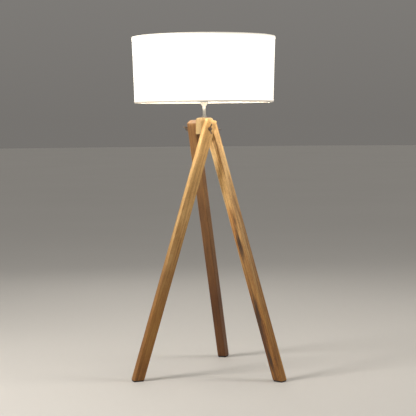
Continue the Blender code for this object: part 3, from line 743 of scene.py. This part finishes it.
def build_column(finish):
    """Tube, collar with its grub screw, and what clamps the nipple under the hub."""
    radius, low, high = extent("tube")
    tube = band(0.0065, radius, low, high, 0.0002, 96)
    piece("column_tube", tube, finish["bright"], "stand", ["tube"])
    radius, low, high = extent("tube_collar")
    ring = band(0.0078, radius, low, high, 0.0008, 96, 6)
    turn = rotation(GRUB_AZIMUTH - 90)
    place = Matrix.Translation((0, 0, (low + high) / 2)) @ turn @ ON_ITS_SIDE
    drill = moved(cylinder(0.0018, 0.0, 0.02, 32), place)
    piece("collar", combined(ring, [drill], "DIFFERENCE"), finish["bright"], "stand",
          ["tube_collar"])
    grub = cylinder(0.0015, 0.0078, 0.0090, 40)
    socket = prism(arc((0, 0), 0.0009, 0, 300, 5), 0.0083, 0.0095)
    grub = combined(grub, [socket], "DIFFERENCE")
    piece("grub_screw", grub, finish["bronze"], "stand", ["collar_grub_screw"],
          Matrix.Translation(CENTRE) @ place)
    radius, low, high = extent("hub_washer")
    for name, mesh, node in (
            ("threaded_nipple", nipple_mesh(), "nipple"),
            ("washer_under_hub", band(ROD_HOLE, radius, low, high, 0.0003), "hub_washer"),
            ("nut_under_hub", hexagon_nut("hub_nut", 0.017), "hub_nut"),
            ("lock_nut_in_cap", hexagon_nut("holder_lock_nut", 0.014), "holder_lock_nut")):
        piece(name, mesh, finish["zinc"], "stand", [node])
    radius, low, high = extent("cable_bush")
    bush = [(0.0026, low), (0.0050, low), (radius, low + 0.001), (radius, low + 0.003),
            (0.0034, low + 0.003), (0.0034, high), (0.0026, high)]
    piece("outlet_bush", turned(fillet(bush, 0.0006), 64), finish["black"], "stand",
          ["cable_bush"])


# ---- lampholder
def cap_mesh():
    """Flared cover of the lampholder."""
    radius, low, high = extent("holder_cap")
    wall = 0.001
    outer = [(0.0082, 0.0), (0.0094, 0.0010), (0.0122, 0.0060), (0.0165, 0.0135), (0.0190, 0.0185),
             (radius, 0.0215), (radius, high - low)]
    inner = [(r - wall, max(z, 0.0025)) for r, z in reversed(outer[2:])]
    outline = [(ROD_HOLE, 0.0)] + outer + inner + [(ROD_HOLE, 0.0025)]
    return turned(fillet([(r, low + z) for r, z in outline], 0.0016, 5), 96)


def rolled_cap(radius, wall, low, high, foot=None):
    """Thin shell with a rolled Edison thread, the same on both of its faces."""
    depth = 0.00105
    form = thread_form(CAP_PITCH, depth, low + 0.001, high - 0.001, sharp=False)
    outline = subdivided((radius, low), (radius, high), CAP_PITCH / 14)
    outline += subdivided((radius - wall, high), (radius - wall, low + (wall if foot else 0.0)),
                          CAP_PITCH / 14)
    if foot:
        outline += [(foot, low + wall), (foot, low)]
    return turned(outline, 72, form)


def gripped_ring(node, upwards):
    """Shade ring: smooth clamping flange and a collar with moulded grips."""
    radius, low, high = extent(node)
    collar = 0.0228
    bore = 0.0198
    height = high - low
    outline = [(bore, 0.0), (radius, 0.0), (radius, 0.002), (collar, 0.002)]
    outline += [(collar, height * 0.5), (collar, height), (bore, height)]
    outline = fillet(outline, 0.0004, 3)
    if not upwards:
        outline = [(r, height - z) for r, z in reversed(outline)]
    start, end = (low + 0.0026, high) if upwards else (low, high - 0.0026)

    def grips(angle, r, z):
        if start <= z <= end and r > collar - 0.0006:
            return r - 0.0007 * (0.5 + 0.5 * math.cos(angle * 28)) ** 3, z
        return r, z
    return turned([(r, low + z) for r, z in outline], 224, grips)


def sleeve_mesh():
    """Outer sleeve of the lampholder with the coarse thread that the shade rings run on."""
    radius, low, high = extent("holder_sleeve")
    start = low + 0.003
    end = high - 0.002
    outline = [(0.0175, low), (radius - 0.0006, low), (radius, low + 0.0008)]
    outline += subdivided((radius, start), (radius, end), 0.00028)
    outline += [(radius, high - 0.0008), (radius - 0.0008, high), (0.0175, high)]
    return turned(outline, 96, thread_form(0.0022, 0.0009, start, end, sharp=False))


def bulb_outline(offset, steps):
    """Half outline of the bulb's envelope from crown to neck, offset inwards."""
    radius, low, high = extent("bulb_glass")
    globe_radius = radius - offset
    centre = high - radius
    neck_radius = 0.0122 - offset
    neck_top = low + 0.012
    last = 128.0
    globe = [(0.0, centre + globe_radius)]
    for step in range(1, steps + 1):
        angle = math.radians(last * step / steps)
        globe.append((globe_radius * math.sin(angle), centre + globe_radius * math.cos(angle)))
    start = Vector(globe[-1])
    leave = Vector((math.cos(math.radians(last)), -math.sin(math.radians(last))))
    neck = Vector((neck_radius, neck_top))
    reach = (start - neck).length
    flare = []
    for step in range(1, 13):
        t = step / 12
        point = (2 * t**3 - 3 * t**2 + 1) * start + (t**3 - 2 * t**2 + t) * leave * reach
        point += (3 * t**2 - 2 * t**3) * neck + (t**3 - t**2) * Vector((0, -1)) * reach
        flare.append(tuple(point))
    return globe + flare + [(neck_radius, low)]


def build_holder(finish):
    """Lampholder, shade rings and bulb."""
    piece("holder_cover", cap_mesh(), finish["white_plastic"], "stand",
          ["holder_cap"])
    piece("threaded_sleeve", sleeve_mesh(), finish["white_plastic"], "stand",
          ["holder_sleeve"])
    _, low, high = extent("screw_shell")
    shell = rolled_cap(0.0141, 0.0005, low, high, foot=0.0070)
    piece("edison_shell", shell, finish["brass"], "stand", ["screw_shell"])
    for node, upwards in (("shade_ring_lower", False), ("shade_ring_upper", True)):
        piece(node + "_gripped", gripped_ring(node, upwards), finish["white_plastic"], "stand",
              [node])
    radius, low, high = extent("bulb_cap")
    cap = rolled_cap(radius, 0.0005, low, high)
    piece("edison_cap", cap, finish["aluminium"], "bulb", ["bulb_cap"])
    outside = bulb_outline(0.0, 28)
    inside = bulb_outline(0.0008, 28)
    bulb = piece("opal_bulb", turned(outside + list(reversed(inside)), 96), finish["opal"], "bulb",
                 ["bulb_glass"])
    bulb.visible_shadow = False
    radius, low, high = extent("bulb_insulator")
    cone = turned(fillet([(0.0, low), (0.0055, low), (radius, high), (0.0, high)], 0.0006), 64)
    piece("cap_insulator", cone, finish["black"], "bulb", ["bulb_insulator"])
    radius, low, high = extent("bulb_tip_contact")
    tip = [(0.0, low), (0.0016, low + 0.0001), (0.0030, low + 0.0003), (radius, low + 0.0010),
           (radius, high), (0.0, high)]
    piece("solder_tip", turned(fillet(tip, 0.0003), 48), finish["brass"], "bulb_tip",
          ["bulb_tip_contact"])


# ---- shade
def shade_radius(z):
    """Outside radius of the shade at a height."""
    share = (z - SHADE_LOW) / (SHADE_HIGH - SHADE_LOW)
    return SHADE_BOTTOM_RADIUS + share * (SHADE_TOP_RADIUS - SHADE_BOTTOM_RADIUS)


def drum_mesh(inset, thickness, margin, overlap, columns=240, rows=14):
    """A strip wound once round the drum, its end lapped over its start, with UVs in metres."""
    bm = bmesh.new()
    layer = bm.loops.layers.uv.new("cloth")
    flat = {}
    start = math.radians(SEAM_AZIMUTH)
    sweep = FULL_TURN + overlap
    low, high = SHADE_LOW + margin, SHADE_HIGH - margin
    skins = []
    for depth in (0.0, thickness):
        grid = []
        for column in range(columns + 1):
            angle = sweep * column / columns
            lap = min(1.0, max(0.0, (angle - FULL_TURN + 0.03) / 0.03)) if overlap else 0.0
            line = []
            for row in range(rows + 1):
                z = low + (high - low) * row / rows
                middle = math.sin(math.pi * row / rows)
                wave = noise.noise(Vector((math.cos(angle) * 2.2, math.sin(angle) * 2.2, z * 5)))
                r = shade_radius(z) - inset - depth + lap * (thickness + 0.0001)
                r -= 0.00035 * middle * (1 + wave)
                vert = bm.verts.new((r * math.cos(start + angle), r * math.sin(start + angle), z))
                flat[vert] = (angle * SHADE_TOP_RADIUS, z - SHADE_LOW)
                line.append(vert)
            grid.append(line)
        skins.append(grid)
    outer, inner = skins
    for column in range(columns):
        for row in range(rows):
            for grid in skins:
                bm.faces.new((grid[column][row], grid[column + 1][row],
                              grid[column + 1][row + 1], grid[column][row + 1]))
        for row in (0, rows):
            bm.faces.new((outer[column][row], outer[column + 1][row],
                          inner[column + 1][row], inner[column][row]))
    for column in (0, columns):
        for row in range(rows):
            bm.faces.new((outer[column][row], outer[column][row + 1],
                          inner[column][row + 1], inner[column][row]))
    for face in bm.faces:
        for loop in face.loops:
            loop[layer].uv = flat[loop.vert]
    return mesh_from(bm)


def hem_mesh(edge, direction):
    """Cloth folded over a wire ring: outer leg, rolled edge, shorter inner leg."""
    inner_inset = WIRE_INSET + WIRE_RADIUS + GAP
    steps = [(0.0, HEM_DEPTH), (0.0, 0.0), (inner_inset + CLOTH, 0.0), (inner_inset + CLOTH, 0.006),
             (inner_inset, 0.006), (inner_inset, CLOTH), (0.0008, CLOTH), (0.0008, HEM_DEPTH)]
    outline = []
    for inset, depth in steps:
        z = edge + direction * depth
        outline.append((shade_radius(z) - inset, z))
    outline = fillet(outline, 0.0012, 4)
    mesh = turned(outline, 240)
    layer = mesh.uv_layers.new(name="cloth")
    for polygon in mesh.polygons:
        places = [mesh.vertices[index].co for index in polygon.vertices]
        angles = [math.atan2(place.y, place.x) for place in places]
        turn = FULL_TURN if max(angles) - min(angles) > math.pi else 0.0
        for loop, angle in zip(polygon.loop_indices, angles):
            co = mesh.vertices[mesh.loops[loop].vertex_index].co
            around = (angle + (turn if angle < 0 else 0.0)) * SHADE_TOP_RADIUS
            layer.data[loop].uv = (around, direction * (co.z - edge))
    return mesh


def swept(points, radius, sides=14):
    """A round wire along points."""
    bm = bmesh.new()
    rings = []
    across = Vector((0.0, 1.0, 0.0))
    for index, point in enumerate(points):
        before = Vector(points[max(index - 1, 0)])
        after = Vector(points[min(index + 1, len(points) - 1)])
        upright = (after - before).normalized().cross(across)
        ring = []
        for step in range(sides):
            angle = FULL_TURN * (step + 0.5) / sides
            offset = across * math.cos(angle) + upright * math.sin(angle)
            ring.append(bm.verts.new(Vector(point) + offset * radius))
        rings.append(ring)
    return skinned(bm, rings)


def wire_ring(edge, direction):
    """A wire ring inside a hem, and the ring's radius and height."""
    z = edge + direction * (0.0011 + WIRE_RADIUS)
    radius = shade_radius(z) - WIRE_INSET
    return turned(arc((radius, z), WIRE_RADIUS, 0, 330, 11), 240), radius, z


def spider_mesh():
    """Bottom wire ring, three welded arms that rise from it, and the flat fitter ring."""
    ring, radius, z = wire_ring(SHADE_LOW, 1)
    _, _, top = extent("shade_ring_lower")
    fitter_low = top + GAP
    fitter_high = fitter_low + 0.0016
    shoulder = 0.006
    bend = arc((radius - shoulder, z + 0.006), shoulder, 0, 80, 8)
    path = [(radius, 0.0, z)] + [(x, 0.0, height) for x, height in bend]
    path += [(0.0283, 0.0, (fitter_low + fitter_high) / 2)]
    fitter = band(0.0208, 0.0305, fitter_low, fitter_high, 0.0003, 96)
    arms = []
    for azimuth in ARM_AZIMUTHS:
        turn = rotation(azimuth)
        arms.append(moved(swept(path, 0.00175), turn))
    return combined(ring, arms + [fitter], "UNION")


def build_shade(finish):
    """Cloth drum on its liner, hems, wires and spider."""
    inset = 0.0011
    margin = 0.0014
    cloth = piece("drum_cloth", drum_mesh(inset, CLOTH, margin, SEAM_LAP), finish["cloth"], "stand",
                  ["shade_fabric"], smooth=60.0)
    liner = drum_mesh(inset + CLOTH + 0.0003, 0.0006, margin, 0.0)
    piece("drum_liner", liner, finish["liner"], "stand", ["shade_liner"],
          smooth=60.0)
    hem_top = piece("rolled_hem_top", hem_mesh(SHADE_HIGH, -1), finish["hem_top"], "stand",
                    ["hem_top"], smooth=60.0)
    hem_bottom = piece("rolled_hem_bottom", hem_mesh(SHADE_LOW, 1), finish["hem_bottom"], "stand",
                       ["hem_bottom"], smooth=60.0)
    piece("wire_top", wire_ring(SHADE_HIGH, -1)[0], finish["white_metal"], "stand",
          ["shade_wire_top"])
    piece("spider", spider_mesh(), finish["white_metal"], "stand",
          ["shade_spider"], smooth=50.0)


# ---- what stays as CAD made it
def dress_nodes(finish):
    """Small inner pieces keep their CAD shape and get their finish."""
    chosen = {"terminal_block": "ceramic", "terminal_screw_1": "brass", "terminal_screw_2": "brass",
              "centre_contact": "brass", "bulb_stem": "glass"}
    for node, name in chosen.items():
        target = frame["nodes"][node]
        target.data.materials.clear()
        target.data.materials.append(finish[name])


# ---- stage, lights, camera
def build_stage():
    """Plain pale floor under a plain grey sky."""
    bm = bmesh.new()
    bmesh.ops.create_circle(bm, cap_ends=True, radius=40.0, segments=96)
    mesh = bpy.data.meshes.new("floor")
    bm.to_mesh(mesh)
    bm.free()
    floor = placed("floor", mesh)
    graph = Graph("floor")
    cloud = graph.noise(graph.coords(), 0.6, 2.0)
    tone = graph.mix(cloud, solid((0.62, 0.60, 0.57)), solid((0.66, 0.64, 0.61)))
    mesh.materials.append(graph.principled(Base_Color=tone, Roughness=0.75,
                                           Specular_IOR_Level=0.25))
    world = bpy.data.worlds.new("studio")
    bpy.context.scene.world = world
    world.use_nodes = True
    tree = world.node_tree
    background = tree.nodes["Background"]
    parts = tree.nodes.new("ShaderNodeSeparateXYZ")
    tree.links.new(tree.nodes.new("ShaderNodeTexCoord").outputs["Generated"], parts.inputs[0])
    ramp = tree.nodes.new("ShaderNodeValToRGB")
    ramp.color_ramp.elements[0].color = solid((0.260, 0.247, 0.230))
    ramp.color_ramp.elements[1].color = solid((0.600, 0.585, 0.560))
    tree.links.new(parts.outputs["Z"], ramp.inputs[0])
    tree.links.new(ramp.outputs[0], background.inputs["Color"])
    background.inputs["Strength"].default_value = 0.7


def area_light(name, place, target, size, power, colour):
    """A soft round light aimed at a point."""
    data = bpy.data.lights.new(name, "AREA")
    data.shape = "DISK"
    data.size = size
    data.energy = power
    data.color = colour
    light = placed(name, data)
    light.location = place
    light.rotation_euler = (Vector(target) - Vector(place)).to_track_quat("-Z", "Y").to_euler()
    return light


def build_lights():
    """Soft key from the left, fill from the right, a weak light behind, and the lamp's bulb."""
    aim = CENTRE + Vector((0, 0, 0.9))
    area_light("key", CENTRE + Vector((-2.5, -0.3, 2.15)), aim, 1.0, 66.0, (1.0, 0.96, 0.90))
    area_light("fill", CENTRE + Vector((2.4, -1.2, 2.4)), aim, 1.4, 34.0, (1.0, 0.96, 0.90))
    area_light("rim", CENTRE + Vector((0.6, 2.6, 2.2)), aim, 2.0, 12.0, (1.0, 0.95, 0.88))
    data = bpy.data.lights.new("bulb", "POINT")
    data.energy = 7.0
    data.shadow_soft_size = 0.028
    data.color = (1.0, 0.92, 0.80)
    bulb = placed("bulb", data)
    radius, _, high = extent("bulb_glass")
    bulb.location = CENTRE + Vector((0, 0, high - radius))


def build_camera():
    """Camera in front of the lamp, where the reference view was taken from."""
    data = bpy.data.cameras.new("camera")
    data.sensor_width = 36.0
    data.lens = CAMERA_LENS
    data.clip_end = 200.0
    camera = placed("camera", data)
    around = rotation(CAMERA_AZIMUTH)
    place = around @ Vector((CAMERA_SIDE, -CAMERA_DISTANCE, CAMERA_HEIGHT))
    aim = around @ rotation(CAMERA_YAW)
    aim = aim @ rotation(90 - CAMERA_PITCH, "X")
    aim = aim @ rotation(CAMERA_ROLL)
    camera.matrix_world = Matrix.Translation(CENTRE + place) @ aim
    bpy.context.scene.camera = camera


def finishes():
    """Every material of the lamp."""
    pale, mid, deep = (0.85, 0.60, 0.285), (0.62, 0.37, 0.135), (0.33, 0.165, 0.048)
    # Painted shade towards the feet, multiplied into the wood.
    painted_foot_shade = (0.48, 0.340, 0.160)
    return {
        "leg_1": wood("timber_1", pale, mid, deep, 1, contrast=1.15, painted_foot_shade=painted_foot_shade),
        # Leg 2's palette is darker: partly a darker timber, partly painted shade for its
        # downward-tilted faces.
        "leg_2": wood("timber_2_partly_painted_shade", (0.40, 0.215, 0.080), (0.27, 0.130, 0.041),
                      (0.145, 0.061, 0.018), 2, painted_foot_shade=(0.48, 0.33, 0.15)),
        "leg_3": wood("timber_3", (0.87, 0.60, 0.27), mid, (0.32, 0.155, 0.042), 3,
                      [((-0.001, -0.019, -0.510), (0.0165, 0.022, 0.115), 1.0),
                       ((0.006, -0.019, -0.420), (0.0070, 0.012, 0.080), 0.75),
                       ((-0.002, -0.019, -0.790), (0.0100, 0.016, 0.110), 0.85),
                       ((-0.009, -0.019, -0.850), (0.0180, 0.022, 0.170), 0.85),
                       ((-0.005, -0.019, -0.985), (0.0130, 0.018, 0.130), 0.85)],
                      [((-0.010, -0.019, -0.44), (0.026, 0.03, 0.22), (0.80, 0.62, 0.44), 0.9),
                       ((0.000, -0.019, -0.66), (0.040, 0.03, 0.24), (0.78, 0.73, 0.66), 0.9),
                       ((-0.010, -0.019, -0.88), (0.026, 0.03, 0.30), (0.68, 0.54, 0.42), 0.9)],
                      contrast=1.75, painted_foot_shade=painted_foot_shade),
        "hub": wood("timber_hub", (0.66, 0.49, 0.245), (0.52, 0.355, 0.165), (0.36, 0.22, 0.09), 5),
        "rubber": plastic("rubber", (0.018, 0.018, 0.019), 0.75, 0.00006, 1200.0),
        "black": plastic("black_plastic", (0.025, 0.025, 0.027), 0.35),
        "white_plastic": plastic("white_plastic", (0.84, 0.83, 0.80), 0.38),
        "white_metal": plastic("white_enamel", (0.86, 0.85, 0.82), 0.30, 0.00001, 500.0),
        "ceramic": plastic("ceramic", (0.86, 0.84, 0.78), 0.18, 0.00001, 300.0),
        "zinc": metal("zinc_steel", (0.64, 0.64, 0.62), 0.36),
        "bright": metal("nickel", (0.70, 0.685, 0.66), 0.27, 0.07),
        "bronze": metal("dark_bronze", (0.27, 0.205, 0.155), 0.27, 0.12, 400.0,
                        (0.11, 0.080, 0.060)),
        "brass": metal("brass", (0.78, 0.57, 0.24), 0.26),
        "aluminium": metal("aluminium", (0.78, 0.78, 0.77), 0.30),
        "glass": glass("clear_glass"),
        "opal": frosted("opal_glass"),
        "cloth": lit_cloth("shade_cloth", (0.88, 0.84, 0.75), (1.0, 0.955, 0.875), 1.02,
                           (0.0, (SHADE_HIGH - SHADE_LOW) * 0.45, 0.90)),
        "hem_top": lit_cloth("hem_cloth", (0.84, 0.80, 0.71), (1.0, 0.94, 0.85), 0.95,
                             (0.002, 0.0075, 0.42)),
        # Painted shade: the bottom hem is a darker copy of the hem cloth, for the shadowed
        # underside of the bottom rim.
        "hem_bottom": lit_cloth("hem_cloth_bottom_painted_shade", (0.56, 0.52, 0.45), (1.0, 0.94, 0.85), 0.92,
                                (0.003, 0.0080, 0.10)),
        "liner": liner_film("liner_film"),
    }


def main():
    bpy.context.scene.view_settings.view_transform = "Standard"
    finish = finishes()
    build_camera()
    build_sides(finish)
    build_column(finish)
    build_holder(finish)
    build_shade(finish)
    dress_nodes(finish)
    build_stage()
    build_lights()


main()
